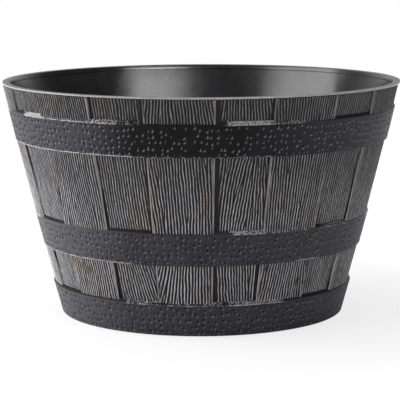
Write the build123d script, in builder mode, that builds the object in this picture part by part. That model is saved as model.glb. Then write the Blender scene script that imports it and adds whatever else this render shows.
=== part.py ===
from build123d import *
import os
from math import degrees, hypot

# A wood-effect half-barrel planter, in millimetres.
# It stands on Z = 0 with its axis on Z, and its front faces -Y.
# A smooth black tub carries a wall of wood-effect staves, three hammered hoops hold the staves
# against it, and four rubber plugs close the drain outlets in its floor.

# Overall form
rim_diameter = 565.0
foot_diameter = 397.4
height = 330.0
belly = 2.0  # how far the wall bows outside a straight line from foot to rim

# Staves: wide ones stand proud, and narrow ones are set back between them
stave_pairs = 10
wide_stave_angle = 19.8
first_wide_stave_turn = -96.1  # where the middle of the stave nearest the front stands about Z
wide_stave_thickness = 6.0
narrow_stave_setback = 3.0
stave_joint_gap = 0.3
stave_edge_radius = 1.4

# Hoops: an upright band with a bevel above it, which leans in over the staves
hoop_height = 44.0  # of the band, without the bevel
hoop_bottoms = {"hoop_bottom": 1.0, "hoop_middle": 101.0, "hoop_top": 250.0}
hoop_prouds = {"hoop_bottom": 2.2, "hoop_middle": 0.5, "hoop_top": 0.5}  # outside the wide staves
hoop_bevel_height = 4.8
hoop_bevel_inset = 2.5  # of the bevel's top edge, inside the wide staves' face
hoop_edge_radius = 0.9
hoop_foot_radius = 3.0
hoop_seat_clearance = 0.3  # between a hoop's edges and the wide staves

# Tub
tub_wall = 3.0
tub_floor_thickness = 4.0
tub_floor_height = 20.0  # top of the floor, from the ground
tub_corner_radius = 14.0
rim_thickness = 2.2
rim_outer_radius = 1.0
rim_shadow_gap = 0.8  # between the rim and the stave ends
rim_bead_height = 6.5
rim_bead_depth = 1.6
rim_bead_radius = 0.6
foot_flange_thickness = 4.0
fit_gap = 0.1  # between curved faces that lie on each other

# Underside of the tub's floor
rib_count = 8
rib_thickness = 3.0
rib_depth = 4.0
hub_radius = 22.0
drain_count = 4
drain_circle_radius = 115.0
drain_hole_radius = 8.0
drain_collar_radius = 13.0

# Drain plugs
plug_clearance = 0.3
plug_flange_radius = 13.0
plug_flange_thickness = 2.5
plug_stem_length = 7.5
plug_stem_taper = 0.6
plug_hollow_radius = 4.5
plug_hollow_depth = 5.0
grip_width = 14.0
grip_thickness = 3.5
grip_height = 9.0
grip_corner_radius = 4.5

# Worked out from the sizes above
rim_radius = rim_diameter / 2
foot_radius = foot_diameter / 2
pair_angle = 360 / stave_pairs
narrow_stave_angle = pair_angle - wide_stave_angle
joint_gap_angle = degrees(stave_joint_gap / rim_radius)
stave_top = height - rim_thickness - rim_shadow_gap
stave_bottom = foot_flange_thickness
tub_outer_inset = wide_stave_thickness + fit_gap
tub_inner_inset = tub_outer_inset + tub_wall
rim_bead_bottom = height - rim_bead_height
rim_bead_inset = tub_inner_inset + rim_bead_depth
flange_inset = narrow_stave_setback + fit_gap
floor_underside = tub_floor_height - tub_floor_thickness
rib_bottom = floor_underside - rib_depth
drain_turn = 180 / rib_count  # puts the outlets midway between ribs

# The bowed side is straight from one hoop edge to the next, and bends at these heights
bend_heights = [0.0]
for band_bottom in sorted(hoop_bottoms.values()):
    bend_heights += [band_bottom, band_bottom + hoop_height]
bend_heights.append(height)


def bowed_radius(z):
    """Radius at height z of the smooth bow that the side follows."""
    share = z / height
    return foot_radius + (rim_radius - foot_radius) * share + 4 * belly * share * (1 - share)


def side_radius(z, inset=0.0):
    """Radius of the wide staves' outer face at height z, less an inset."""
    upper = next(index for index in range(1, len(bend_heights)) if z <= bend_heights[index])
    low, high = bend_heights[upper - 1], bend_heights[upper]
    share = (z - low) / (high - low)
    return bowed_radius(low) * (1 - share) + bowed_radius(high) * share - inset


def side_points(*stops):
    """Points of a section through stops given as (height, inset), with the side's bends put in between."""
    points = []
    for (z_start, inset_start), (z_end, inset_end) in zip(stops, stops[1:]):
        points.append((side_radius(z_start, inset_start), z_start))
        bends = [z for z in bend_heights if min(z_start, z_end) < z < max(z_start, z_end)]
        if inset_start == inset_end:
            points += [(side_radius(z, inset_start), z) for z in sorted(bends, reverse=z_end < z_start)]
    z_last, inset_last = stops[-1]
    points.append((side_radius(z_last, inset_last), z_last))
    return points


def ring_edges(part, z, radius):
    """The round edges of a part at this height and radius."""
    circles = part.edges().filter_by(GeomType.CIRCLE)
    return circles.filter_by(lambda edge: abs(edge.arc_center.Z - z) < 0.01 and abs(edge.radius - radius) < 0.01)


def hoop_seat(band_bottom, proud):
    """Stops of the seat that a wide stave has for a hoop, with a sloping top that follows the bevel."""
    seat_top = band_bottom + hoop_height + hoop_seat_clearance
    steepness = hoop_bevel_height / (proud + hoop_bevel_inset)
    return [
        (band_bottom - hoop_seat_clearance, 0.0),
        (band_bottom - hoop_seat_clearance, narrow_stave_setback),
        (seat_top + (proud + narrow_stave_setback) * steepness, narrow_stave_setback),
        (seat_top + proud * steepness, 0.0),
    ]


def is_long_proud_edge(edge):
    """True for the long edges of a wide stave's proud faces, which are rounded."""
    middle = edge @ 0.5
    on_proud_face = abs(hypot(middle.X, middle.Y) - side_radius(middle.Z)) < 0.01
    return on_proud_face and abs((edge @ 1).Z - (edge @ 0).Z) > 1


def make_stave(label, middle_turn, angle, outer_stops):
    """One stave: a slice of the wall with radial sides, whose middle stands at middle_turn about Z."""
    arc = angle - joint_gap_angle
    with BuildPart() as stave:
        with BuildSketch(Plane.XZ.rotated((0, 0, middle_turn - arc / 2))):
            with BuildLine():
                back_stops = [(stave_top, wide_stave_thickness), (stave_bottom, wide_stave_thickness)]
                Polyline(*side_points(*outer_stops, *back_stops), close=True)
            make_face()
        revolve(axis=Axis.Z, revolution_arc=arc)
        proud_edges = stave.edges().filter_by(is_long_proud_edge)
        if proud_edges:
            fillet(proud_edges, radius=stave_edge_radius)
    stave.part.label = label
    return stave.part


def make_hoop(label, bottom, proud):
    """A closed ring: its band lies on the narrow staves and in the wide staves' seats, under a bevel."""
    band_top = bottom + hoop_height
    inner_inset = narrow_stave_setback - fit_gap
    stops = [
        (bottom, -proud),
        (band_top, -proud),
        (band_top + hoop_bevel_height, hoop_bevel_inset),
        (band_top + hoop_bevel_height, inner_inset),
        (bottom, inner_inset),
    ]
    with BuildPart() as hoop:
        with BuildSketch(Plane.XZ):
            with BuildLine():
                Polyline(*side_points(*stops), close=True)
            make_face()
        revolve(axis=Axis.Z)
        outer_edge = ring_edges(hoop, bottom, side_radius(bottom, -proud))
        stands_at_foot = bottom == min(hoop_bottoms.values())
        fillet(outer_edge, radius=hoop_foot_radius if stands_at_foot else hoop_edge_radius)
    hoop.part.label = label
    return hoop.part


def make_tub():
    """The smooth tub: rim over the stave ends, inner bead, wall, raised floor, foot, ribs and outlets."""
    stops = [
        (floor_underside, tub_inner_inset),
        (0.0, tub_inner_inset),
        (0.0, flange_inset),
        (stave_bottom, flange_inset),
        (stave_bottom, tub_outer_inset),
        (height - rim_thickness, tub_outer_inset),
        (height - rim_thickness, 0.0),
        (height, 0.0),
        (height, rim_bead_inset),
        (rim_bead_bottom, rim_bead_inset),
        (rim_bead_bottom, tub_inner_inset),
        (tub_floor_height, tub_inner_inset),
    ]
    with BuildPart() as tub:
        with BuildSketch(Plane.XZ):
            with BuildLine():
                Polyline((0, floor_underside), *side_points(*stops), (0, tub_floor_height), close=True)
            make_face()
        revolve(axis=Axis.Z)
        fillet(ring_edges(tub, height, rim_radius), radius=rim_outer_radius)
        bead_edges = ring_edges(tub, height, side_radius(height, rim_bead_inset))
        bead_edges += ring_edges(tub, rim_bead_bottom, side_radius(rim_bead_bottom, rim_bead_inset))
        fillet(bead_edges, radius=rim_bead_radius)
        floor_corner = ring_edges(tub, tub_floor_height, side_radius(tub_floor_height, tub_inner_inset))
        fillet(floor_corner, radius=tub_corner_radius)

        rib_length = side_radius(floor_underside, tub_inner_inset)
        with BuildSketch(Plane.XY.offset(rib_bottom)):
            Circle(hub_radius)
            with PolarLocations(0, rib_count):
                Rectangle(rib_length, rib_thickness, align=(Align.MIN, Align.CENTER))
            with PolarLocations(drain_circle_radius, drain_count, start_angle=drain_turn):
                Circle(drain_collar_radius)
        extrude(amount=rib_depth)
        with Locations(Plane.XY.offset(tub_floor_height)):
            with PolarLocations(drain_circle_radius, drain_count, start_angle=drain_turn):
                Hole(radius=drain_hole_radius)
    tub.part.label = "tub"
    return tub.part


def make_plug(label, turn):
    """A push-in plug: flange on the floor, hollow tapered stem in the outlet, and a grip to pull it by."""
    stem_radius = drain_hole_radius - plug_clearance
    outwards = Vector(1, 0, 0).rotate(Axis.Z, turn)
    seat = outwards * drain_circle_radius + Vector(0, 0, tub_floor_height)
    side_view = Plane(origin=seat, x_dir=outwards, z_dir=outwards.cross(Vector(0, 0, 1)))
    with BuildPart() as plug:
        with BuildSketch(side_view):
            with BuildLine():
                Polyline(
                    (0, plug_flange_thickness),
                    (plug_flange_radius, plug_flange_thickness),
                    (plug_flange_radius, 0),
                    (stem_radius, 0),
                    (stem_radius - plug_stem_taper, -plug_stem_length),
                    (plug_hollow_radius, -plug_stem_length),
                    (plug_hollow_radius, plug_hollow_depth - plug_stem_length),
                    (0, plug_hollow_depth - plug_stem_length),
                    close=True,
                )
            make_face()
        revolve(axis=Axis(seat, (0, 0, 1)))
        with BuildSketch(side_view):
            with Locations((0, plug_flange_thickness)):
                Rectangle(grip_width, grip_height, align=(Align.CENTER, Align.MIN))
        extrude(amount=grip_thickness / 2, both=True)
        grip_top = plug.faces().sort_by(Axis.Z)[-1]
        fillet(grip_top.edges().sort_by(SortBy.LENGTH)[:2], radius=grip_corner_radius)
    plug.part.label = label
    return plug.part


# The lowest hoop covers the foot ends of the wide staves, so their section starts in its seat
wide_stops = [(stave_bottom, narrow_stave_setback)]
for hoop_name, band_bottom in hoop_bottoms.items():
    seat = hoop_seat(band_bottom, hoop_prouds[hoop_name])
    wide_stops += [stop for stop in seat if stop[0] > stave_bottom]
wide_stops.append((stave_top, 0.0))
narrow_stops = [(stave_bottom, narrow_stave_setback), (stave_top, narrow_stave_setback)]

pieces = [make_tub()]
for hoop_name, band_bottom in hoop_bottoms.items():
    pieces.append(make_hoop(hoop_name, band_bottom, hoop_prouds[hoop_name]))
for pair in range(stave_pairs):
    wide_turn = first_wide_stave_turn + pair * pair_angle
    narrow_turn = wide_turn + pair_angle / 2
    pieces.append(make_stave(f"stave_{2 * pair + 1:02d}_wide", wide_turn, wide_stave_angle, wide_stops))
    pieces.append(make_stave(f"stave_{2 * pair + 2:02d}_narrow", narrow_turn, narrow_stave_angle, narrow_stops))
for outlet in range(drain_count):
    pieces.append(make_plug(f"drain_plug_{outlet + 1}", drain_turn + outlet * 360 / drain_count))

os.makedirs("parts", exist_ok=True)
for piece in pieces:
    export_step(piece, f"parts/{piece.label}.step")
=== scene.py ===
from math import atan2, cos, degrees, pi, radians, sin, sqrt, tan

import bpy
import numpy as np
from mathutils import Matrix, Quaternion, Vector


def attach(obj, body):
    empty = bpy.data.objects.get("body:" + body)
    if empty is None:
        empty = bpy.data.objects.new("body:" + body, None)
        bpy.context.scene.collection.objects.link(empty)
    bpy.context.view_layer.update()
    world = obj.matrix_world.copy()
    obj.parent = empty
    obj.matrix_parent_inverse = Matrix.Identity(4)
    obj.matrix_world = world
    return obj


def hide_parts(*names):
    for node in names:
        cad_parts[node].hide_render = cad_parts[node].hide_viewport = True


# Looks of a wood-effect half-barrel planter. Lengths are in millimetres until a mesh is made.
MM = 0.001

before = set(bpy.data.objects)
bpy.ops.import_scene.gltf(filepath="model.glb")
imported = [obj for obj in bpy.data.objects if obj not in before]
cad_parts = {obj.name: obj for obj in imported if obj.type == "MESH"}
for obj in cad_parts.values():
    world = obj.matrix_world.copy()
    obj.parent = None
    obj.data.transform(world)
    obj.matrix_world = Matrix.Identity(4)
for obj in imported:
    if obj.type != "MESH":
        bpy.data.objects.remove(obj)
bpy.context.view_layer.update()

# Sizes of the solids
RIM_RADIUS = 282.5
FOOT_RADIUS = 198.7
HEIGHT = 330.0
BELLY = 2.0
STAVE_PAIRS = 10
WIDE_ANGLE = 19.8
FIRST_WIDE_TURN = -96.1
WIDE_THICKNESS = 6.0
NARROW_SETBACK = 3.0
JOINT_GAP = 0.3
STAVE_TOP = 327.0
STAVE_BOTTOM = 4.0
EDGE_RADIUS = 1.4
HOOP_HEIGHT = 44.0
HOOP_BOTTOMS = {"hoop_bottom": 1.0, "hoop_middle": 101.0, "hoop_top": 250.0}
HOOP_PROUDS = {"hoop_bottom": 2.2, "hoop_middle": 0.5, "hoop_top": 0.5}
BEVEL_HEIGHT = 4.8
BEVEL_INSET = 2.5
HOOP_EDGE_RADIUS = 0.9
HOOP_FOOT_RADIUS = 3.0
HOOP_INNER_INSET = 2.9
SEAT_CLEARANCE = 0.3
WALL_OUTSIDE = 6.1  # insets of the tub's faces from the wide staves' face
WALL_INSIDE = 9.1
RIM_THICKNESS = 2.2
RIM_RADIUS_OF_EDGE = 1.0
RIM_LOW_RADIUS = 0.4  # of the corner below the rim
BEAD_INSET = 10.7
BEAD_BOTTOM = 323.5
BEAD_RADIUS = 0.6
FLANGE_INSET = 3.1
FLOOR_TOP = 20.0
FLOOR_LOW = 16.0
FLOOR_CORNER = 14.0
RIB_BOTTOM = 12.0
RIB_COUNT = 8
RIB_THICKNESS = 3.0
HUB_RADIUS = 22.0
DRAIN_COUNT = 4
DRAIN_CIRCLE = 115.0
DRAIN_RADIUS = 8.0
DRAIN_TURN = 22.5
COLLAR_RADIUS = 13.0
FOOT_RING_RADIUS = 189.0  # inside of the ring that the planter stands on

# Section of a drain plug, from its hollow stem up to its flange: radius, and height above the tub's floor
PLUG_SECTION = [
    (0.0, -2.5), (4.5, -2.5), (4.5, -7.5), (7.05, -7.5), (7.2, -6.2), (7.1, -5.6), (7.35, -5.0),
    (7.2, -4.4), (7.3, -3.4), (7.2, -2.8), (7.5, -2.1), (7.35, -1.4), (7.6, 0.0), (12.6, 0.0),
    (13.0, 0.5), (13.0, 1.9), (12.5, 2.5), (11.4, 2.5), (11.0, 2.1), (10.3, 2.1), (9.9, 2.4), (0.0, 2.4),
]
GRIP_HALF_WIDTH = 7.0
GRIP_HALF_THICKNESS = 1.75
GRIP_LOW = 1.5
GRIP_TOP = 11.5
GRIP_CORNER = 4.5
GRIP_EDGE = 0.5
DENT_HEIGHTS = (5.2, 7.0, 8.8)  # of the dents between the grip's ribs
DENT_RADIUS = 0.55
DENT_OUT = 1.95

# Surface detail
COLUMN_STEP = 0.6  # across a stave
ROW_STEP = 1.8  # up a stave
GRAIN_PITCH = 4.0
GRAIN_DEPTH = 1.5
GRAIN_CELL = (0.7, 1.6)  # across and up, of the sheet that the grain is grown on
GRAIN_ROUNDS = 6
PITCH_SPREAD = 0.13  # how far ridges may stray from their pitch, as a share of it
LEAN_SPREAD = 0.009  # how far they may stray from their lean, in turns per millimetre
LEAN_STEP = 4  # degrees
LEAN_LIMIT = 24
BACK_POINTS = 14  # along and up the plain back of a stave
PIT_CELL = 8.6
HOOP_SEGMENTS = {"hoop_bottom": 1400, "hoop_middle": 1620, "hoop_top": 1640}
HOOP_STEP = 1.02  # along a hoop's section
TUB_SEGMENTS = 480
TUB_STEP = 9.0  # along the tub's section
NOISE_WAVES = 10
STAVE_SEED = 700
HOOP_SEED = 300

# Faces that meet at more than this many degrees have a sharp edge between them
STAVE_SHARP = 62
HOOP_SHARP = 50
PLUG_SHARP = 40
TUB_SHARP = 35

# The side is straight between bends at the hoops' edges, and the bends lie on a slight bow
BENDS = np.array([0.0] + [z for b in HOOP_BOTTOMS.values() for z in (b, b + HOOP_HEIGHT)] + [HEIGHT])
BEND_RADII = (
    FOOT_RADIUS + (RIM_RADIUS - FOOT_RADIUS) * BENDS / HEIGHT
    + 4 * BELLY * BENDS / HEIGHT * (1 - BENDS / HEIGHT)
)


def side_radius(z, inset=0.0):
    """Radius of the wide staves' outer face at height z, less an inset."""
    return np.interp(z, BENDS, BEND_RADII) - inset


def side_point(z, inset=0.0):
    """Point of a section on the side at height z, less an inset: radius from the axis, and height."""
    return float(side_radius(z, inset)), float(z)


def smoothstep(low, high, value):
    share = np.clip((value - low) / (high - low), 0, 1)
    return share * share * (3 - 2 * share)


def soft_noise(rng, u, z, size_u, size_z, around=None):
    """Smooth noise of about -1 to 1, in lumps about size_u wide and size_z tall.

    It repeats after the length around, where that is given."""
    total = np.zeros(np.broadcast(u, z).shape)
    for _ in range(NOISE_WAVES):
        turn = rng.uniform(0, 2 * pi)
        reach = rng.uniform(0.5, 1.4)
        rate = pi * reach * cos(turn) / size_u
        if around:
            rate = round(rate * around / 2 / pi) * 2 * pi / around
        total = total + np.cos(u * rate + z * pi * reach * sin(turn) / size_z + rng.uniform(0, 2 * pi))
    return total / sqrt(NOISE_WAVES / 2) / 1.6


def new_object(name, mesh):
    made = bpy.data.objects.new(name, mesh)
    bpy.context.scene.collection.objects.link(made)
    return made


def finish_mesh(name, vertices, faces, attributes, sharp_degrees):
    """Mesh object from vertices in millimetres, smooth but for edges sharper than the angle."""
    mesh = bpy.data.meshes.new(name)
    mesh.from_pydata((np.asarray(vertices) * MM).tolist(), [], faces)
    mesh.validate()
    for key, values in attributes.items():
        mesh.attributes.new(key, "FLOAT", "POINT").data.foreach_set("value", np.asarray(values, np.float32))
    mesh.polygons.foreach_set("use_smooth", np.ones(len(mesh.polygons), bool))
    mesh.set_sharp_from_angle(angle=radians(sharp_degrees))
    mesh.update()
    return new_object(name, mesh)


def grid_faces(rows, columns, start=0, wrap_rows=False, wrap_columns=False, flip=False):
    """Quads of a grid whose vertices are numbered row by row from start."""
    row = np.arange(rows if wrap_rows else rows - 1)
    column = np.arange(columns if wrap_columns else columns - 1)
    r, c = np.meshgrid(row, column, indexing="ij")
    r_next, c_next = (r + 1) % rows, (c + 1) % columns
    quads = np.stack(
        [r * columns + c, r * columns + c_next, r_next * columns + c_next, r_next * columns + c], -1
    ).reshape(-1, 4) + start
    return (quads[:, ::-1] if flip else quads).tolist()


def polar(radius, turn, z):
    """Points at radius and turn, an angle in radians about Z, and height z."""
    return np.stack([radius * np.cos(turn), radius * np.sin(turn), z + 0 * turn], -1)


# Wood grain. It is grown as fingerprints are: noise is drawn out again and again along the way the
# grain leans at each place, until it has become long ridges of one pitch that fork, end and meet in Vs.
# A lean is in degrees from upright, positive where a ridge's top leans to the left as seen from outside.
# Each stave seen from the front has its leans at its left edge, middle and right edge, in the strips
# above, between and below the hoops.
FRONT_LEANS = {
    17: ((0, 2, 3), (2, 0, 1), (-4, 0, 3)),
    18: ((2, 0, -1), (0, 2, 0), (0, 3, 5)),
    19: ((3, 1, 2), (-3, 0, 2), (0, -2, -4)),
    20: ((2, 4, 0), (4, 3, 2), (2, 9, 12)),
    1: ((-6, 5, 10), (7, 3, -1), (-17, -5, 0)),
    2: ((-3, 3, 7), (0, -9, 5), (4, 7, -2)),
    3: ((5, 0, -5), (4, 0, -5), (-2, -4, 6)),
    4: ((-4, 0, 4), (-4, 3, 0), (5, 0, -6)),
    5: ((0, 3, 0), (3, -3, 0), (-5, 0, 4)),
}
# Plain dark margins of the narrow staves seen from the front, partly unbrushed and partly painted shade from
# the wide staves' step: the widths at the left edge and at the right edge, in the same three strips
FRONT_MARGINS = {
    18: ((0.5, 0.5, 0.9), (0.6, 0.4, 0.5)),
    20: ((1.2, 0.6, 2.6), (3.2, 1.5, 0.8)),
    2: ((3.3, 3.1, 2.3), (2.7, 0.9, 2.4)),
    4: ((1.3, 1.8, 1.4), (1.0, 1.2, 1.0)),
}
# The staves towards both sides of the front are worn smoother
FRONT_CLEARNESS = {17: 0.6, 18: 0.62, 19: 0.85, 4: 0.55, 5: 0.55}


def grow_grain(rng, half_width, leans):
    """A complex sheet over a stave, with the places of its columns across and of its rows up.

    Its angle is 0 on a ridge and pi in a groove, and its size falls where ridges end."""
    cell_u, cell_z = GRAIN_CELL
    across = np.arange(-half_width - 8, half_width + 8, cell_u)
    up = np.arange(-12, HEIGHT + 14, cell_z)
    u, z = np.meshgrid(across, up)
    share = np.clip(u / half_width, -1, 1)
    strips = [np.interp(share, (-0.9, 0, 0.9), strip) for strip in leans]
    lean = by_strips(strips, z) + 2.2 * soft_noise(rng, u, z, 30, 60)
    lean = np.clip(lean, -LEAN_LIMIT + 0.1, LEAN_LIMIT - 0.1)
    way_u = np.fft.fftfreq(len(across), cell_u)[None, :]
    way_z = np.fft.fftfreq(len(up), cell_z)[:, None]
    ridges = 1 / GRAIN_PITCH
    bank = []
    for degrees_of_lean in range(-LEAN_LIMIT, LEAN_LIMIT + 1, LEAN_STEP):
        tilt = radians(degrees_of_lean)
        on = way_u * cos(tilt) + way_z * sin(tilt)
        off = way_z * cos(tilt) - way_u * sin(tilt)
        pull = np.exp(-0.5 * ((on - ridges) / (PITCH_SPREAD * ridges)) ** 2 - 0.5 * (off / LEAN_SPREAD) ** 2)
        weight = np.clip(1 - np.abs(lean - degrees_of_lean) / LEAN_STEP, 0, 1)
        bank.append((pull, weight))
    sheet = rng.normal(size=u.shape)
    for _ in range(GRAIN_ROUNDS):
        spectrum = np.fft.fft2(sheet)
        grown = sum(np.fft.ifft2(spectrum * pull) * weight for pull, weight in bank if weight.any())
        grown = grown / np.mean(np.abs(grown))
        sheet = np.cos(np.angle(grown)) * np.minimum(1, np.abs(grown) / 0.4)
    return across, up, grown


def by_strips(values, z):
    """The value at each height, from those of the strips above, between and below the hoops."""
    top, middle, low = values
    value = low + (middle - low) * smoothstep(105, 145, z)
    return value + (top - value) * smoothstep(250, 294, z)


def grain(rng, u, z, leans, clearness):
    """Height from 0, a groove, to 1, a ridge, at points across and up a stave."""
    across, up, sheet = grow_grain(rng, np.abs(u).max(), leans)
    wander = 0.35 * soft_noise(rng, u, z, 9, 12) + 0.16 * soft_noise(rng, u, z, 4, 5)
    column = np.clip((u + wander - across[0]) / (across[1] - across[0]), 0, len(across) - 1.001)
    row = np.clip((z - up[0]) / (up[1] - up[0]), 0, len(up) - 1.001)
    i, j = row.astype(int), column.astype(int)
    fi, fj = row - i, column - j
    field = (sheet[i, j] * (1 - fi) * (1 - fj) + sheet[i, j + 1] * (1 - fi) * fj
             + sheet[i + 1, j] * fi * (1 - fj) + sheet[i + 1, j + 1] * fi * fj)
    ridge = 0.5 + 0.5 * np.cos(np.angle(field))
    height = smoothstep(0.3, 0.94, ridge)
    uneven = 0.10 * soft_noise(rng, u, z, 2.2, 6) + 0.12 * soft_noise(rng, u, z, 4.5, 40)
    height = np.clip(height * (0.9 + uneven), 0, 1)
    clear = smoothstep(0.08, 0.45, np.abs(field))
    faint = smoothstep(0.6, 1.3, soft_noise(rng, u, z, 16, 34))
    clear = clear * (1 - 0.22 * faint) * clearness
    plain = 0.42 + 0.45 * (1 - clearness)
    return plain + (height - plain) * clear


def wide_rows():
    """Section of a wide stave's outer face: heights, insets, and how far the relief is let in."""
    z, inset, relief = [STAVE_BOTTOM], [NARROW_SETBACK], [0.0]
    bottoms = list(HOOP_BOTTOMS.values())
    for index, (hoop, bottom) in enumerate(HOOP_BOTTOMS.items()):
        proud = HOOP_PROUDS[hoop]
        steep = BEVEL_HEIGHT / (proud + BEVEL_INSET)
        seat_top = bottom + HOOP_HEIGHT + SEAT_CLEARANCE
        if bottom - SEAT_CLEARANCE > STAVE_BOTTOM:
            z.append(bottom - SEAT_CLEARANCE)
            inset.append(NARROW_SETBACK)
            relief.append(0.0)
        z.append(seat_top + (proud + NARROW_SETBACK) * steep)
        inset.append(NARROW_SETBACK)
        relief.append(0.0)
        face_low = seat_top + proud * steep
        face_high = bottoms[index + 1] - SEAT_CLEARANCE if index + 1 < len(bottoms) else STAVE_TOP
        face = np.linspace(face_low, face_high, int((face_high - face_low) / ROW_STEP) + 2)
        z += face.tolist()
        inset += [0.0] * len(face)
        relief += [1.0] * len(face)
    return np.array(z), np.array(inset), np.array(relief)


def narrow_rows():
    """Section of a narrow stave's outer face, with few rows where the hoops hide it."""
    z = [STAVE_BOTTOM]
    bottoms = list(HOOP_BOTTOMS.values())
    for index, bottom in enumerate(bottoms):
        face_low = bottom + HOOP_HEIGHT + 2.0
        face_high = bottoms[index + 1] + 1.0 if index + 1 < len(bottoms) else STAVE_TOP
        z += np.linspace(face_low, face_high, int((face_high - face_low) / ROW_STEP) + 2).tolist()
    z = np.array(z)
    return z, np.full(len(z), NARROW_SETBACK), np.ones(len(z))


def make_stave(name, number, middle_turn, angle, wide):
    """A stave with its grain in relief, closed by plain sides and back."""
    rng = np.random.default_rng(STAVE_SEED + number)
    leans = FRONT_LEANS.get(number)
    if leans is None:
        leans = [rng.uniform(-7, 7, 3) for strip in range(3)]
    z, inset, relief = wide_rows() if wide else narrow_rows()
    half = radians(angle) / 2 - JOINT_GAP / 2 / RIM_RADIUS
    columns = int(2 * half * side_radius(170.0) / COLUMN_STEP) + 1
    # the outermost columns lie closer together, for the rounded edges
    share = np.linspace(-1, 1, columns)
    turn_in = half * (share + 0.35 * share * (1 - share ** 2) * share ** 2)
    radius = side_radius(z, inset)
    u = turn_in[None, :] * side_radius(z)[:, None]
    zz = np.repeat(z[:, None], columns, 1)
    from_edge = (half - np.abs(turn_in))[None, :] * side_radius(z)[:, None]
    height = grain(rng, u, zz, leans, FRONT_CLEARNESS.get(number, rng.uniform(0.75, 1) if number > 5 else 1))

    if wide:
        edge = np.clip(EDGE_RADIUS - from_edge, 0, EDGE_RADIUS)
        round_off = EDGE_RADIUS - np.sqrt(np.maximum(EDGE_RADIUS ** 2 - edge ** 2, 0))
        line = 1.9 + 0.4 * soft_noise(rng, u, zz, 12, 12)
        inside = smoothstep(line, line + 1.4, from_edge)
        margin = (1 - inside) * smoothstep(0.2, 1.3, from_edge)
        flat_height = 0.85
        worn = np.clip(0.62 + 0.5 * soft_noise(rng, u, zz, 40, 30), 0.1, 1)
        rub = smoothstep(2.7, 1.8, from_edge) * smoothstep(0.0, 0.9, from_edge) * worn
    else:
        round_off = np.zeros_like(from_edge)
        margins = FRONT_MARGINS.get(number, rng.uniform(0.3, 3.0, (2, 3)))
        line = np.where(turn_in[None, :] < 0, by_strips(margins[0], zz), by_strips(margins[1], zz))
        line = line * (1 + 0.3 * soft_noise(rng, u, zz, 14, 34))
        inside = smoothstep(line, 0.9 + 2.0 * line, from_edge)
        margin = 1 - inside
        flat_height = 0.35
        rub = np.zeros_like(from_edge)

    height = flat_height + (height - flat_height) * inside
    round_off = round_off * (relief[:, None] > 0)
    depth = GRAIN_DEPTH * (1 - height) * relief[:, None] + round_off
    outer = polar(radius[:, None] - depth, radians(middle_turn) + turn_in[None, :] + 0 * zz, zz)

    back_count = BACK_POINTS
    back_rows = np.linspace(STAVE_BOTTOM, STAVE_TOP, back_count)
    back_turns = np.linspace(-half, half, back_count)
    back = polar(
        side_radius(back_rows, WIDE_THICKNESS)[:, None] + 0 * back_turns,
        radians(middle_turn) + back_turns[None, :] + 0 * back_rows[:, None],
        back_rows[:, None] + 0 * back_turns,
    )
    rows = len(z)
    vertices = np.concatenate([outer.reshape(-1, 3), back.reshape(-1, 3)])
    first = rows * columns
    faces = grid_faces(rows, columns)
    faces += grid_faces(back_count, back_count, start=first, flip=True)
    left = [i * columns for i in range(rows)]
    right = [i * columns + columns - 1 for i in range(rows)]
    back_left = [first + i * back_count for i in range(back_count)]
    back_right = [first + i * back_count + back_count - 1 for i in range(back_count)]
    faces.append(left + back_left[::-1])
    faces.append(right[::-1] + back_right)
    faces.append(list(range(columns))[::-1] + [first + i for i in range(back_count)])
    top_outer = [(rows - 1) * columns + i for i in range(columns)]
    top_back = [first + (back_count - 1) * back_count + i for i in range(back_count)]
    faces.append(top_outer + top_back[::-1])

    blank = np.zeros(back_count * back_count)
    attributes = {
        "ridge": np.concatenate([(height * relief[:, None]).ravel(), blank + 0.35]),
        "margin": np.concatenate([margin.ravel(), blank]),
        "rub": np.concatenate([np.clip(rub * relief[:, None], 0, 1).ravel(), blank]),
    }
    return finish_mesh(name, vertices, faces, attributes, STAVE_SHARP)


def arc_points(centre, radius, start, end, count):
    """Points on an arc in a section, as (radius from the axis, height)."""
    turns = np.radians(np.linspace(start, end, count))
    return [(centre[0] + radius * cos(t), centre[1] + radius * sin(t)) for t in turns]


def resample(points, step):
    """The line through points, with points added so that none are further apart than step."""
    found = [points[0]]
    for a, b in zip(points, points[1:]):
        a, b = np.array(a), np.array(b)
        count = max(1, int(np.ceil(np.linalg.norm(b - a) / step)))
        found += [tuple(a + (b - a) * i / count) for i in range(1, count + 1)]
    return np.array(found)


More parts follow.
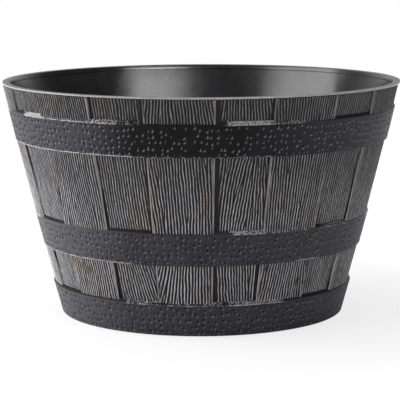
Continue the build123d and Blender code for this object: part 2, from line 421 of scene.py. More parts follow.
def pit_depths(rng, u, z, around, bottom):
    """The pits hammered into a band, slanted drops each at a loose place in its cell.

    Gives their depth, how far a place is in their upper left end, which gets painted shade, and how far
    it is on their lower right lip, which gets a painted highlight."""
    count_u = int(around / PIT_CELL)
    cell = around / count_u
    count_z = int(HOOP_HEIGHT / cell) + 2
    jitter = rng.uniform(0.2, 0.8, (count_u, count_z, 2))
    reach = rng.uniform(1.9, 2.6, (count_u, count_z))
    slant = np.radians(rng.uniform(5, 45, (count_u, count_z)))
    deep = rng.uniform(0.7, 1.1, (count_u, count_z)) * (rng.random((count_u, count_z)) < 0.92)
    column = np.floor(u / cell).astype(int)
    row = np.floor((z - bottom) / cell).astype(int)
    pits, shades, lips = np.zeros(u.shape), np.zeros(u.shape), np.zeros(u.shape)
    for step_u in (-1, 0, 1):
        for step_z in (-1, 0, 1):
            cu, cz = column + step_u, row + step_z
            on = (cz >= 0) & (cz < count_z)
            wu, wz = cu % count_u, np.clip(cz, 0, count_z - 1)
            pit_u = (cu + jitter[wu, wz, 0]) * cell
            pit_z = bottom + (cz + jitter[wu, wz, 1]) * cell
            side, drop = np.sin(slant[wu, wz]), np.cos(slant[wu, wz])
            along = ((u - pit_u) * side - (z - pit_z) * drop) / reach[wu, wz] / 1.4
            across = ((u - pit_u) * drop + (z - pit_z) * side) / reach[wu, wz]
            away = np.hypot(along, across)
            strength = deep[wu, wz] * on
            pits = np.maximum(pits, np.clip(1 - away ** 2, 0, 1) * strength)
            shade = 1 - ((along + 0.3) ** 2 + across ** 2) / 0.55
            shades = np.maximum(shades, np.clip(shade, 0, 1) * strength)
            facing = np.clip((along + 0.35 * across) / np.maximum(away, 0.1), 0, 1)
            lips = np.maximum(lips, np.exp(-((away - 0.85) / 0.3) ** 2) * facing * strength)
    return pits, shades, lips


# Pale places on the hoops, partly wear and partly painted highlight: along their bevels and the corner below
# these, and along their lower edges.
# Each is where it starts and ends, in degrees from the front, positive to the right, and how strong it is.
# From about 70 degrees to either side and round the back, the wear and painted highlight come and go by
# themselves.
OWN_HIGHLIGHT_AND_WEAR_FROM, OWN_HIGHLIGHT_AND_WEAR_FULL = 66, 76
BEVEL_HIGHLIGHT_AND_WEAR = {
    "hoop_top": ((-61, -50, 1.0), (-50, -23, 0.5), (-23, -16, 0.25), (7, 20, 0.85), (20, 30, 0.45)),
    "hoop_middle": ((9, 21, 0.6), (21, 38, 0.3), (42, 57, 0.35)),
    "hoop_bottom": ((-30, -16, 0.4), (-13, 9, 0.35), (9, 31, 0.6)),
}
LOW_EDGE_HIGHLIGHT_AND_WEAR = {
    "hoop_top": ((-75, -20, 0.9), (-20, 22, 0.4)),
    "hoop_middle": ((-78, -24, 0.8), (33, 44, 0.9)),
    "hoop_bottom": (),
}


def highlight_and_wear_along(rng, turns, spans, around):
    """How strong a hoop's wear and painted highlight are at each turn, from 0 to 1."""
    from_front = (np.degrees(turns) + 270) % 360 - 180
    own = smoothstep(-0.1, 0.7, soft_noise(rng, turns * around / 2 / pi, 0 * turns, 60, 1, around))
    highlight_and_wear = own * smoothstep(OWN_HIGHLIGHT_AND_WEAR_FROM, OWN_HIGHLIGHT_AND_WEAR_FULL, np.abs(from_front))
    for start, end, strength in spans:
        on = smoothstep(start - 2, start + 2, from_front) * smoothstep(end + 2, end - 2, from_front)
        highlight_and_wear = np.maximum(highlight_and_wear, on * strength)
    return highlight_and_wear


def make_hoop(name, bottom, number):
    """A hoop of pitted plastic: upright band, bevel above it, and a plain inner face."""
    rng = np.random.default_rng(HOOP_SEED + number)
    top = bottom + HOOP_HEIGHT
    foot = name == "hoop_bottom"
    proud = HOOP_PROUDS[name]
    low_out = side_radius(bottom, -proud)
    high_out = side_radius(top, -proud)
    lean = degrees(atan2(high_out - low_out, HOOP_HEIGHT))
    corner = HOOP_FOOT_RADIUS if foot else HOOP_EDGE_RADIUS
    centre = (low_out - corner / tan(radians(90 + lean) / 2), bottom + corner)
    along = np.array([high_out - low_out, HOOP_HEIGHT]) / np.hypot(high_out - low_out, HOOP_HEIGHT)
    bevel_top = (side_radius(top + BEVEL_HEIGHT, BEVEL_INSET), top + BEVEL_HEIGHT)
    bevel_along = np.array(bevel_top) - np.array([high_out, top])
    bevel_along = bevel_along / np.linalg.norm(bevel_along)
    inner_top = (side_radius(top + BEVEL_HEIGHT, HOOP_INNER_INSET), top + BEVEL_HEIGHT)
    inner_bottom = (side_radius(bottom, HOOP_INNER_INSET), bottom)
    section = [inner_bottom, (centre[0], bottom)]
    section += arc_points(centre, corner, -90, -lean, 7 if foot else 4)[1:]
    upper_corner = np.array([high_out, top])
    tip = 0.5
    section.append(tuple(upper_corner - along * tip))
    section.append(tuple(upper_corner - along * tip * 0.25 + bevel_along * tip * 0.25))
    section.append(tuple(upper_corner + bevel_along * tip))
    section += [bevel_top, inner_top]
    line = resample(section, HOOP_STEP)
    # one more point, halfway down the inner face
    halfway = ((inner_top[0] + inner_bottom[0]) / 2, (inner_top[1] + inner_bottom[1]) / 2)
    line = np.concatenate([line, [halfway]])
    segments = HOOP_SEGMENTS[name]
    turns = np.linspace(0, 2 * pi, segments, endpoint=False)
    r0, z0 = line[:, 0][:, None], line[:, 1][:, None]
    u = turns[None, :] * high_out + 0 * r0
    zz = z0 + 0 * turns[None, :]

    on_band = smoothstep(bottom + 1.0, bottom + 3.0, zz) * smoothstep(top - 0.6, top - 2.2, zz)
    on_band = on_band * (r0 > side_radius(z0, -proud) - 0.25)
    around = 2 * pi * high_out
    pits, shades, lips = pit_depths(rng, u, zz, around, bottom)
    swell = 0.10 * soft_noise(rng, u, zz, 16, 14, around)
    depth = np.maximum(pits + 0.2 + swell, 0) * on_band
    # the bevel is roughly cut, with a ragged upper edge
    on_bevel = smoothstep(top + 0.4, top + 1.4, zz) * (r0 < side_radius(z0, -proud) - 0.15)
    off_inner_face = r0 > side_radius(z0, HOOP_INNER_INSET) + 0.3
    on_bevel = on_bevel * off_inner_face
    ragged = 0.3 * soft_noise(rng, u, zz, 3.5, 3, around) + 0.2 * soft_noise(rng, u, zz, 1.6, 2, around)
    depth = depth + np.clip(0.22 + ragged, 0, 0.9) * on_bevel
    corner_line = smoothstep(top - 1.4, top - 0.7, zz) * smoothstep(top + 1.0, top + 0.3, zz)
    corner_line = corner_line * off_inner_face
    # pale marks of wear and painted highlight on the bevel, the corner below it and the lower edge
    worn = highlight_and_wear_along(rng, turns, BEVEL_HIGHLIGHT_AND_WEAR[name], around)[None, :]
    low_highlight_and_wear = highlight_and_wear_along(rng, turns, LOW_EDGE_HIGHLIGHT_AND_WEAR[name], around)[None, :]
    low_line = smoothstep(bottom + 2.2, bottom + 1.0, zz)
    vertices = polar(r0 - depth, turns[None, :] + 0 * r0, zz)
    faces = grid_faces(len(line), segments, wrap_rows=True, wrap_columns=True, flip=True)
    attributes = {
        "pit": (pits * on_band).ravel(),
        "shade": (shades * on_band).ravel(),
        "lip": (lips * on_band).ravel(),
        "bevel": on_bevel.ravel(),
        "worn": (on_bevel * worn).ravel(),
        "edge": (corner_line * np.minimum(worn * 1.3, 1) + low_line * low_highlight_and_wear).ravel(),
    }
    return finish_mesh(name + "_pitted", vertices.reshape(-1, 3), faces, attributes, HOOP_SHARP)


def rounded(points, radii, steps=5):
    """A section line with some corners rounded: radii gives a radius for the corners that have one."""
    found = []
    count = len(points)
    for i, point in enumerate(points):
        radius = radii.get(i)
        if not radius:
            found.append(tuple(point))
            continue
        p = np.array(point, float)
        a = np.array(points[i - 1], float) - p
        b = np.array(points[(i + 1) % count], float) - p
        a, b = a / np.linalg.norm(a), b / np.linalg.norm(b)
        half = np.arccos(np.clip(a @ b, -1, 1)) / 2
        middle = p + (a + b) / np.linalg.norm(a + b) * radius / sin(half)
        start, end = p + a * radius / np.tan(half), p + b * radius / np.tan(half)
        s, e = start - middle, end - middle
        for k in range(steps + 1):
            way = s * (1 - k / steps) + e * k / steps
            found.append(tuple(middle + way / np.linalg.norm(way) * radius))
    return found


def side_line(z_from, z_to, inset):
    """Points down or up the side at one inset, bends and all."""
    low, high = min(z_from, z_to), max(z_from, z_to)
    heights = [z_from] + sorted([z for z in BENDS if low < z < high], reverse=z_to < z_from) + [z_to]
    return [side_point(z, inset) for z in heights]


def revolve(line, segments):
    """Vertices and faces of a closed section turned about Z; its first and last points lie on the axis."""
    turns = np.linspace(0, 2 * pi, segments, endpoint=False)
    line = np.array(line)
    body = line[1:-1]
    vertices = polar(
        body[:, 0][:, None] + 0 * turns, turns[None, :] + 0 * body[:, :1], body[:, 1][:, None] + 0 * turns
    )
    faces = grid_faces(len(body), segments, wrap_columns=True, flip=True)
    vertices = vertices.reshape(-1, 3)
    start, end = len(vertices), len(vertices) + 1
    vertices = np.concatenate([vertices, [[0, 0, line[0, 1]], [0, 0, line[-1, 1]]]])
    last = (len(body) - 1) * segments
    for i in range(segments):
        j = (i + 1) % segments
        faces.append([start, i, j])
        faces.append([end, last + j, last + i])
    return vertices, faces


def cut_or_join(body, operation, tools):
    """Cut each tool out of body, or join it on. The tools are used up."""
    for tool in tools:
        step = body.modifiers.new(operation.lower(), "BOOLEAN")
        step.operation = operation
        step.solver = "EXACT"
        step.object = tool
    bpy.context.view_layer.update()
    shape = bpy.data.meshes.new_from_object(body.evaluated_get(bpy.context.evaluated_depsgraph_get()))
    body.modifiers.clear()
    body.data = shape
    for tool in tools:
        bpy.data.objects.remove(tool)


def round_tool(name, radius, low, high, centre, segments=64):
    """A disc or peg about an upright axis through centre."""
    vertices, faces = revolve([(0, low), (radius, low), (radius, high), (0, high)], segments)
    vertices = vertices + np.array([centre[0], centre[1], 0.0])
    return finish_mesh(name, vertices, faces, {}, TUB_SHARP)


def make_tub():
    """The tub: rim, inner bead, smooth wall, rounded floor, foot, ribs below, and drain outlets."""
    top = HEIGHT
    line = [(0.0, FLOOR_LOW), side_point(FLOOR_LOW, WALL_INSIDE), side_point(0.0, WALL_INSIDE)]
    line += [side_point(0.0, FLANGE_INSET), side_point(STAVE_BOTTOM, FLANGE_INSET)]
    line += side_line(STAVE_BOTTOM, top - RIM_THICKNESS, WALL_OUTSIDE)
    line += [side_point(top - RIM_THICKNESS), side_point(top)]
    rim_corner = len(line) - 1
    line += [side_point(top, BEAD_INSET), side_point(BEAD_BOTTOM, BEAD_INSET)]
    bead_corner = len(line) - 2
    line += side_line(BEAD_BOTTOM, FLOOR_TOP, WALL_INSIDE)
    floor_corner = len(line) - 1
    line += [(0.0, FLOOR_TOP)]
    radii = {
        rim_corner - 1: RIM_LOW_RADIUS,
        rim_corner: RIM_RADIUS_OF_EDGE,
        bead_corner: BEAD_RADIUS,
        bead_corner + 1: BEAD_RADIUS,
        floor_corner: FLOOR_CORNER,
    }
    vertices, faces = revolve(resample(rounded(line, radii), TUB_STEP), TUB_SEGMENTS)
    tub = finish_mesh("tub_shell", vertices, faces, {}, TUB_SHARP)

    overlap = 1.0
    joined = [round_tool("hub", HUB_RADIUS, RIB_BOTTOM, FLOOR_LOW + overlap, (0, 0), 96)]
    for rib in range(RIB_COUNT // 2):
        reach = side_radius(RIB_BOTTOM, WALL_INSIDE) + overlap
        half = RIB_THICKNESS / 2
        corners = [(-reach, -half), (reach, -half), (reach, half), (-reach, half)]
        turn = 2 * pi * rib / RIB_COUNT
        spun = [(x * cos(turn) - y * sin(turn), x * sin(turn) + y * cos(turn)) for x, y in corners]
        low = [(x, y, RIB_BOTTOM) for x, y in spun]
        high = [(x, y, FLOOR_LOW + overlap) for x, y in spun]
        sides = [[i, (i + 1) % 4, (i + 1) % 4 + 4, i + 4] for i in range(4)]
        ends = [[3, 2, 1, 0], [4, 5, 6, 7]]
        joined.append(finish_mesh(f"rib_{rib}", low + high, ends + sides, {}, TUB_SHARP))
    cut = []
    for outlet in range(DRAIN_COUNT):
        turn = radians(DRAIN_TURN + 360 * outlet / DRAIN_COUNT)
        centre = (DRAIN_CIRCLE * cos(turn), DRAIN_CIRCLE * sin(turn))
        joined.append(round_tool(f"collar_{outlet}", COLLAR_RADIUS, RIB_BOTTOM, FLOOR_LOW + overlap, centre))
        cut.append(round_tool(f"drain_{outlet}", DRAIN_RADIUS, RIB_BOTTOM - 2, FLOOR_TOP + 2, centre, 48))
    cut_or_join(tub, "UNION", joined)
    cut_or_join(tub, "DIFFERENCE", cut)
    tub.data.polygons.foreach_set("use_smooth", np.ones(len(tub.data.polygons), bool))
    tub.data.set_sharp_from_angle(angle=radians(TUB_SHARP))
    return tub


def make_plug(name, turn):
    """A drain plug: lipped flange, two sealing rings on a hollow stem, and a ribbed grip."""
    vertices, faces = revolve(PLUG_SECTION, 96)
    plug = finish_mesh(name, vertices, faces, {}, PLUG_SHARP)
    wide, thick = GRIP_HALF_WIDTH, GRIP_HALF_THICKNESS
    corners = [(-wide, GRIP_LOW), (wide, GRIP_LOW), (wide, GRIP_TOP), (-wide, GRIP_TOP)]
    outline = rounded(corners, {2: GRIP_CORNER, 3: GRIP_CORNER}, 8)
    count = len(outline)
    side = [(x, -thick, z) for x, z in outline] + [(x, thick, z) for x, z in outline]
    ends = [list(range(count))[::-1], list(range(count, 2 * count))]
    walls = [[i, (i + 1) % count, (i + 1) % count + count, i + count] for i in range(count)]
    grip = finish_mesh("grip", side, ends + walls, {}, PLUG_SHARP)
    edge = grip.modifiers.new("edge", "BEVEL")
    edge.width = GRIP_EDGE * MM
    edge.segments = 3
    edge.limit_method = "ANGLE"
    dents = []
    for height in DENT_HEIGHTS:
        for way in (-1, 1):
            vertices, faces = revolve([(0, -5.0), (DENT_RADIUS, -4.6), (DENT_RADIUS, 4.6), (0, 5.0)], 20)
            lying = np.stack([vertices[:, 2], vertices[:, 0] + way * DENT_OUT, vertices[:, 1] + height], -1)
            dents.append(finish_mesh("dent", lying, faces, {}, TUB_SHARP))
    cut_or_join(grip, "DIFFERENCE", dents)
    cut_or_join(plug, "UNION", [grip])
    shape = plug.data
    points = np.zeros(len(shape.vertices) * 3)
    shape.vertices.foreach_get("co", points)
    points = points.reshape(-1, 3)
    a = radians(turn)
    x, y = points[:, 0].copy(), points[:, 1].copy()
    points[:, 0] = x * cos(a) - y * sin(a) + DRAIN_CIRCLE * MM * cos(a)
    points[:, 1] = x * sin(a) + y * cos(a) + DRAIN_CIRCLE * MM * sin(a)
    points[:, 2] += FLOOR_TOP * MM
    shape.vertices.foreach_set("co", points.ravel())
    shape.polygons.foreach_set("use_smooth", np.ones(len(shape.polygons), bool))
    shape.set_sharp_from_angle(angle=radians(PLUG_SHARP))
    shape.update()
    return plug


def material(name):
    made = bpy.data.materials.new(name)
    made.use_nodes = True
    tree = made.node_tree
    return made, tree, tree.nodes["Principled BSDF"]


class Nodes:
    """Short calls that add nodes to a material and link them."""

    def __init__(self, tree):
        self.tree = tree

    def add(self, kind, settings=None, **inputs):
        node = self.tree.nodes.new(kind)
        for key, value in (settings or {}).items():
            setattr(node, key, value)
        for key, value in inputs.items():
            self.put(node, key.replace("_", " "), value)
        return node

    def put(self, node, key, value):
        socket = node.inputs[int(key) if key.isdigit() else key]
        if isinstance(value, bpy.types.NodeSocket):
            self.tree.links.new(value, socket)
        else:
            socket.default_value = value

    def attribute(self, name):
        return self.add("ShaderNodeAttribute", {"attribute_name": name}).outputs["Fac"]

    def noise(self, size_mm, stretch=1.0, detail=3.0, rough=0.55):
        """Noise of lumps about size_mm across, stretched up by stretch."""
        where = self.add("ShaderNodeTexCoord").outputs["Object"]
        mapping = self.add("ShaderNodeMapping", Vector=where)
        mapping.inputs["Scale"].default_value = (1, 1, 1 / stretch)
        node = self.add("ShaderNodeTexNoise", Vector=mapping.outputs["Vector"], Scale=1000.0 / size_mm,
                        Detail=detail, Roughness=rough)
        return node.outputs["Fac"]

    def math(self, operation, a, b=0.0, c=0.0):
        node = self.tree.nodes.new("ShaderNodeMath")
        node.operation = operation
        for index, value in enumerate((a, b, c)):
            if isinstance(value, bpy.types.NodeSocket):
                self.tree.links.new(value, node.inputs[index])
            else:
                node.inputs[index].default_value = value
        return node.outputs[0]

    def ramp(self, value, low, high, out_low=0.0, out_high=1.0):
        node = self.tree.nodes.new("ShaderNodeMapRange")
        node.interpolation_type = "SMOOTHSTEP"
        for key, number in {"From Min": low, "From Max": high, "To Min": out_low, "To Max": out_high}.items():
            node.inputs[key].default_value = number
        self.tree.links.new(value, node.inputs["Value"])
        return node.outputs["Result"]

    def mix(self, share, a, b):
        node = self.tree.nodes.new("ShaderNodeMix")
        node.data_type = "RGBA"
        for socket, value in ((node.inputs[0], share), (node.inputs[6], a), (node.inputs[7], b)):
            if isinstance(value, bpy.types.NodeSocket):
                self.tree.links.new(value, socket)
            elif isinstance(value, tuple):
                socket.default_value = (*value, 1.0)
            else:
                socket.default_value = value
        return node.outputs[2]

    def bump(self, height, strength, distance_mm):
        node = self.add("ShaderNodeBump", Height=height, Strength=strength, Distance=distance_mm * MM)
        return node.outputs["Normal"]


def stave_material():
    """Look of the staves: pale on the ridges of the grain and black in its grooves and plain margins."""
    made, tree, shader = material("stave_resin_look")
    n = Nodes(tree)
    ridge, margin, rub = n.attribute("ridge"), n.attribute("margin"), n.attribute("rub")
    fine = n.noise(1.1, stretch=3.5, detail=4.0)
    blotch = n.noise(30, stretch=1.8, detail=2.0)
    tint = n.noise(46, stretch=1.3, detail=1.0)
    streak = n.noise(3.2, stretch=14.0, detail=2.0)
    where = n.add("ShaderNodeSeparateXYZ", Vector=n.add("ShaderNodeTexCoord").outputs["Object"])
    lit = n.math("MULTIPLY_ADD", fine, 0.34, ridge)
    paint_and_shading = n.ramp(lit, 0.52, 1.04)
    paint_and_shading = n.math("MULTIPLY", paint_and_shading, n.ramp(blotch, 0.3, 0.7, 0.86, 1.0))
    paint_and_shading = n.math("MULTIPLY", paint_and_shading, n.ramp(streak, 0.3, 0.62, 0.62, 1.0))
    # painted shade and light: the staves are darker towards the rim, and a little paler at the foot and at
    # the left
    paint_and_shading = n.math("MULTIPLY", paint_and_shading, n.ramp(where.outputs["Z"], 0.165, 0.24, 1.0, 0.68))
    paint_and_shading = n.math("MULTIPLY", paint_and_shading, n.ramp(where.outputs["Z"], 0.08, 0.13, 1.16, 1.0))
    paint_and_shading = n.math("MULTIPLY", paint_and_shading, n.ramp(where.outputs["Z"], 0.25, 0.29, 1.0, 0.7))
    paint_and_shading = n.math("MULTIPLY", paint_and_shading, n.ramp(where.outputs["X"], -0.09, -0.2, 1.0, 1.15))
    # darker margins by the joints: unbrushed paint, and on the narrow staves painted shade from the wide
    # staves' step
    paint_and_shading = n.math("MULTIPLY", paint_and_shading, n.math("MULTIPLY_ADD", margin, -0.9, 1.0))
    rubbed = n.math("MULTIPLY", rub, n.ramp(fine, 0.3, 0.6, 0.35, 0.8))
    paint_and_shading = n.math("MAXIMUM", paint_and_shading, rubbed)
    grey, warm, brown = (0.356, 0.351, 0.364), (0.345, 0.307, 0.262), (0.34, 0.26, 0.18)
    groove = (0.005, 0.0049, 0.005)
    pale = n.mix(n.ramp(tint, 0.53, 0.78), grey, warm)
    pale = n.mix(n.math("MULTIPLY", rub, n.ramp(blotch, 0.4, 0.6)), pale, brown)
    colour = n.mix(paint_and_shading, groove, pale)
    tree.links.new(colour, shader.inputs["Base Color"])
    tree.links.new(n.ramp(fine, 0.2, 0.8, 0.5, 0.68), shader.inputs["Roughness"])
    shader.inputs["Specular IOR Level"].default_value = 0.2
    tree.links.new(n.bump(fine, 0.45, 0.3), shader.inputs["Normal"])
    return made


def hoop_material(name, dark, dusty, rubbed, painted_sheen_at_sides):
    """Look of a hoop: clouded dark to dusty, with painted shade in the pits and a painted highlight, the
    rubbed colour, on their lips, and paler towards the sides with a painted sheen.
    """
    in_shade, unbrushed_and_shaded_bevel = (0.004, 0.004, 0.005), (0.007, 0.007, 0.0075)
    lit_and_worn_bevel, lit_and_worn_edge = (0.26, 0.253, 0.262), (0.30, 0.292, 0.302)
    made, tree, shader = material(name)
    n = Nodes(tree)
    pit, lip, bevel = n.attribute("pit"), n.attribute("lip"), n.attribute("bevel")
    shade, worn, edge = n.attribute("shade"), n.attribute("worn"), n.attribute("edge")
    fine = n.noise(0.9, detail=3.0)
    cloud = n.noise(34, detail=2.0)
    colour = n.mix(n.ramp(cloud, 0.3, 0.7), dark, dusty)
    where = n.add("ShaderNodeSeparateXYZ", Vector=n.add("ShaderNodeTexCoord").outputs["Object"])
    # painted sheen: the hoops are paler towards their left and right sides, where they face the lamps and the
    # bright floor
    to_left = n.ramp(where.outputs["X"], -0.08, -0.165, 0.0, 0.95)
    to_right = n.ramp(where.outputs["X"], 0.03, 0.22, 0.0, 0.75)
    colour = n.mix(n.math("MAXIMUM", to_left, to_right), colour, painted_sheen_at_sides)
    sunk = n.ramp(pit, 0.1, 0.8)

    grit = n.noise(2.2, detail=4.0)

    def flecks(highlight_and_wear):
        """Pale flecks of wear and painted highlight, few where these are weak and closed up where they are
        strong.
        """
        spots = n.ramp(n.math("MULTIPLY_ADD", highlight_and_wear, 0.3, grit), 0.6, 0.74)
        return n.math("MULTIPLY", spots, n.ramp(highlight_and_wear, 0.03, 0.3))

    # painted shade in the pits' upper left ends, and a painted highlight, the rubbed colour, on their lower
    # right lips
    colour = n.mix(n.ramp(shade, 0.1, 0.6, 0.0, 0.75), colour, in_shade)
    on_lip = n.math("MULTIPLY", n.ramp(lip, 0.15, 0.75), n.ramp(fine, 0.35, 0.6, 0.15, 1.0))
    colour = n.mix(on_lip, colour, rubbed)
    # the bevel is black: unbrushed dark base, and painted shade from the proud staves beside it
    colour = n.mix(bevel, colour, unbrushed_and_shaded_bevel)
    # pale flecks on the bevel and edges: wear, and painted highlight where these face the light
    colour = n.mix(flecks(worn), colour, lit_and_worn_bevel)
    colour = n.mix(flecks(edge), colour, lit_and_worn_edge)
    tree.links.new(colour, shader.inputs["Base Color"])
    rough = n.ramp(fine, 0.2, 0.8, 0.36, 0.5)
    tree.links.new(n.math("MULTIPLY_ADD", sunk, -0.2, rough), shader.inputs["Roughness"])
    shader.inputs["Specular IOR Level"].default_value = 0.1
    tree.links.new(n.bump(fine, 0.3, 0.2), shader.inputs["Normal"])
    return made


def tub_material():
    """Look of the tub: smooth black, with a worn, paler top to the rim and a pale edge round it, both partly
    painted highlight.
    """
    made, tree, shader = material("tub_resin_look")
    n = Nodes(tree)
    where = n.add("ShaderNodeTexCoord").outputs["Object"]
    parts = n.add("ShaderNodeSeparateXYZ", Vector=where)
    high = n.ramp(parts.outputs["Z"], 0.3291, 0.32985)
    cloud = n.noise(40, detail=3.0)
    scuff = n.noise(3.0, detail=4.0)
    colour = n.mix(n.ramp(cloud, 0.3, 0.7), (0.010, 0.010, 0.0115), (0.018, 0.0175, 0.020))
    # the top of the rim is paler: scuffs, and painted highlight where it faces up to the lamps
    worn = n.math("MULTIPLY", high, n.ramp(scuff, 0.25, 0.6, 0.65, 1.0))
    colour = n.mix(worn, colour, (0.078, 0.077, 0.08))
    flat_where = n.add("ShaderNodeCombineXYZ", X=parts.outputs["X"], Y=parts.outputs["Y"]).outputs[0]
    radius = n.add("ShaderNodeVectorMath", {"operation": "LENGTH"}, **{"0": flat_where}).outputs["Value"]
    # a pale line round the rim's outer edge: wear, and a painted highlight along the edge
    outward = n.math("MULTIPLY", n.ramp(radius, 0.2808, 0.2816), n.ramp(parts.outputs["Z"], 0.3278, 0.3284))
    outward = n.math("MULTIPLY", outward, n.ramp(scuff, 0.3, 0.6, 0.5, 1.0))
    colour = n.mix(outward, colour, (0.32, 0.312, 0.32))
    tree.links.new(colour, shader.inputs["Base Color"])
    smooth = n.ramp(cloud, 0.2, 0.8, 0.18, 0.27)
    tree.links.new(n.math("MULTIPLY_ADD", high, 0.25, smooth), shader.inputs["Roughness"])
    shader.inputs["Specular IOR Level"].default_value = 0.54
    fine = n.noise(1.4, detail=2.0)
    tree.links.new(n.bump(fine, 0.1, 0.12), shader.inputs["Normal"])
    return made


def plug_material():
    """Look of the drain plugs: dull black rubber."""
    made, tree, shader = material("plug_rubber_look")
    n = Nodes(tree)
    cloud = n.noise(6, detail=3.0)
    colour = n.mix(n.ramp(cloud, 0.3, 0.7), (0.014, 0.014, 0.014), (0.034, 0.033, 0.033))
    tree.links.new(colour, shader.inputs["Base Color"])
    tree.links.new(n.ramp(cloud, 0.2, 0.8, 0.62, 0.8), shader.inputs["Roughness"])
    tree.links.new(n.bump(n.noise(0.8), 0.25, 0.2), shader.inputs["Normal"])
    return made


stave_look = stave_material()
# the top hoop is a darker copy of the resin, painted shade over the planter's upper part; the bottom hoop is
# a little paler than the middle one
hoop_looks = {
    "hoop_top": hoop_material(
        "hoop_resin_painted_shade_look", (0.003, 0.0029, 0.0034), (0.006, 0.0058, 0.007), (0.17, 0.167, 0.175),
        painted_sheen_at_sides=(0.035, 0.034, 0.040),
    ),
    "hoop_middle": hoop_material(
        "hoop_resin_look", (0.023, 0.0222, 0.0268), (0.034, 0.0325, 0.039), (0.13, 0.127, 0.137),
        painted_sheen_at_sides=(0.050, 0.0485, 0.057),
    ),
    "hoop_bottom": hoop_material(
        "hoop_resin_paler_look", (0.026, 0.0252, 0.030), (0.037, 0.0355, 0.042), (0.13, 0.127, 0.137),
        painted_sheen_at_sides=(0.046, 0.0445, 0.053),
    ),
}
tub_look = tub_material()
plug_look = plug_material()


def dress(piece, look, node, body="planter"):
    piece.data.materials.clear()
    piece.data.materials.append(look)
    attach(piece, body)
    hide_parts(node)


pair_angle = 360 / STAVE_PAIRS
for pair in range(STAVE_PAIRS):
    wide_turn = FIRST_WIDE_TURN + pair * pair_angle
    for wide in (True, False):
        number = 2 * pair + (1 if wide else 2)
        node = f"stave_{number:02d}_{'wide' if wide else 'narrow'}"
        angle = WIDE_ANGLE if wide else pair_angle - WIDE_ANGLE
        turn = wide_turn if wide else wide_turn + pair_angle / 2
        stave = make_stave(f"{node}_grained", number, turn, angle, wide)
        dress(stave, stave_look, node)

for number, (node, bottom) in enumerate(HOOP_BOTTOMS.items()):
    dress(make_hoop(node, bottom, number), hoop_looks[node], node)

dress(make_tub(), tub_look, "tub")

for outlet in range(DRAIN_COUNT):
    node = f"drain_plug_{outlet + 1}"
    plug = make_plug(node + "_moulded", DRAIN_TURN + 360 * outlet / DRAIN_COUNT)
    dress(plug, plug_look, node, node)


def floor_material():
    """White floor: lit and shadowed near the planter, and plain white further out."""
    made, tree, shader = material("floor_look")
    n = Nodes(tree)
    shader.inputs["Base Color"].default_value = (0.96, 0.96, 0.96, 1)
    shader.inputs["Roughness"].default_value = 0.9
    shader.inputs["Specular IOR Level"].default_value = 0.0
    where = n.add("ShaderNodeTexCoord").outputs["Object"]
    length = n.add("ShaderNodeVectorMath", {"operation": "LENGTH"}, **{"0": where}).outputs["Value"]
    path = n.add("ShaderNodeLightPath")
    to_eye = path.outputs["Is Camera Ray"]
    seen = n.math("MAXIMUM", to_eye, path.outputs["Is Glossy Ray"])
    seen = n.math("MAXIMUM", seen, path.outputs["Is Transmission Ray"])
    glow = n.add("ShaderNodeEmission", Color=(1, 1, 1, 1), Strength=1.0).outputs[0]
    near = n.math("MULTIPLY", to_eye, 0.75)
    share = n.math("MAXIMUM", n.math("MULTIPLY", n.ramp(length, 0.5, 1.3), seen), near)
    share = n.math("MAXIMUM", share, n.math("MULTIPLY", n.ramp(length, 0.2, 0.5), to_eye))
    # inside the foot ring it is dark to the eye, and open to the light that shows the underside
    inside_ring = n.ramp(length, FOOT_RING_RADIUS * MM, (FOOT_RING_RADIUS - 4) * MM)
    share = n.math("MULTIPLY", share, n.math("SUBTRACT", 1.0, inside_ring))
    both = n.add("ShaderNodeMixShader", **{"0": share})
    tree.links.new(shader.outputs[0], both.inputs[1])
    tree.links.new(glow, both.inputs[2])
    # seen from below, the floor lets the underside show
    under = n.math("MULTIPLY", n.add("ShaderNodeNewGeometry").outputs["Backfacing"], seen)
    other_rays = n.math("SUBTRACT", 1.0, to_eye)
    under = n.math("MAXIMUM", under, n.math("MULTIPLY", inside_ring, other_rays))
    clear = n.add("ShaderNodeBsdfTransparent").outputs[0]
    shown = n.add("ShaderNodeMixShader", **{"0": under})
    tree.links.new(both.outputs[0], shown.inputs[1])
    tree.links.new(clear, shown.inputs[2])
    tree.links.new(shown.outputs[0], tree.nodes["Material Output"].inputs["Surface"])
    return made


floor_mesh = bpy.data.meshes.new("floor")
floor_mesh.from_pydata([(-40, -40, 0), (40, -40, 0), (40, 40, 0), (-40, 40, 0)], [], [(0, 1, 2, 3)])
floor = new_object("floor", floor_mesh)
floor_mesh.materials.append(floor_material())

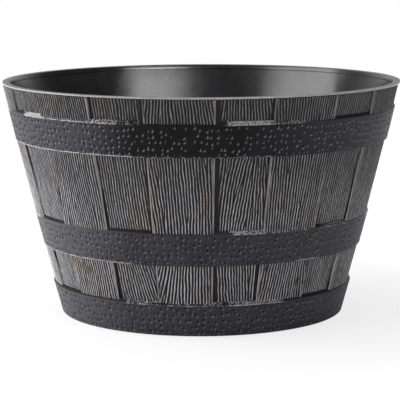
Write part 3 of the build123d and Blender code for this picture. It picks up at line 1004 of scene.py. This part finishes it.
# The studio round it: nearly white behind, dim elsewhere, and a little lighter above and to the left
world = bpy.data.worlds.new("studio")
bpy.context.scene.world = world
world.use_nodes = True
tree = world.node_tree
n = Nodes(tree)
parts = n.add("ShaderNodeSeparateXYZ", Vector=n.add("ShaderNodeTexCoord").outputs["Generated"])
behind = n.ramp(parts.outputs["Y"], 0.35, 0.85, 0.0, 0.8)
leftward = n.ramp(parts.outputs["X"], 0.1, -0.9, 0.0, 0.2)
upward = n.ramp(parts.outputs["Z"], 0.3, 1.0, 0.0, 0.3)
strength = n.math("ADD", n.math("ADD", behind, leftward), n.math("ADD", upward, 0.12))
tree.links.new(n.math("MINIMUM", strength, 1.0), tree.nodes["Background"].inputs["Strength"])
tree.nodes["Background"].inputs["Color"].default_value = (1, 1, 1, 1)


def softbox(name, azimuth, elevation, distance, width, height, level):
    """Area lamp that faces the planter, of the radiance level.

    Its azimuth is from the front, in degrees, and positive to the right."""
    lamp = bpy.data.lights.new(name, "AREA")
    lamp.shape = "RECTANGLE"
    lamp.size, lamp.size_y = width, height
    lamp.energy = level * pi * width * height
    made = new_object(name, lamp)
    a, e = radians(azimuth), radians(elevation)
    way = Vector((sin(a) * cos(e), -cos(a) * cos(e), sin(e)))
    made.location = Vector((0, 0, 0.18)) + way * distance
    made.rotation_mode = "QUATERNION"
    made.rotation_quaternion = way.to_track_quat("Z", "Y")
    made.visible_camera = False
    return made


key = softbox("key_left", azimuth=-106, elevation=10, distance=2.0, width=1.5, height=1.0, level=11.0)
key.visible_glossy = False
softbox("side_left", azimuth=-73, elevation=18, distance=2.2, width=2.1, height=0.75, level=6.1)
softbox("fill_right", azimuth=31, elevation=19, distance=2.6, width=1.5, height=0.3, level=12.5)
sheen = softbox("sheen_right", azimuth=29, elevation=19, distance=2.55, width=1.9, height=0.5, level=8.0)
sheen.visible_diffuse = False
softbox("top", azimuth=0, elevation=88, distance=2.4, width=2.0, height=2.0, level=0.9)
softbox("below", azimuth=20, elevation=-75, distance=1.5, width=1.6, height=1.6, level=3.0)

# The eye is 2.7 m in front of the planter and a little above its rim
camera = bpy.data.cameras.new("camera")
camera.sensor_width = 36.0
camera.lens = 170.33
eye = new_object("camera", camera)
eye.location = (-0.0025, -2.689, 0.5589)
PITCH_DOWN, ROLL = 8.514, -0.195
eye.rotation_mode = "QUATERNION"
eye.rotation_quaternion = (
    Quaternion((1, 0, 0), radians(90 - PITCH_DOWN)) @ Quaternion((0, 0, 1), radians(ROLL))
)
bpy.context.scene.camera = eye
bpy.context.scene.view_settings.view_transform = "Standard"
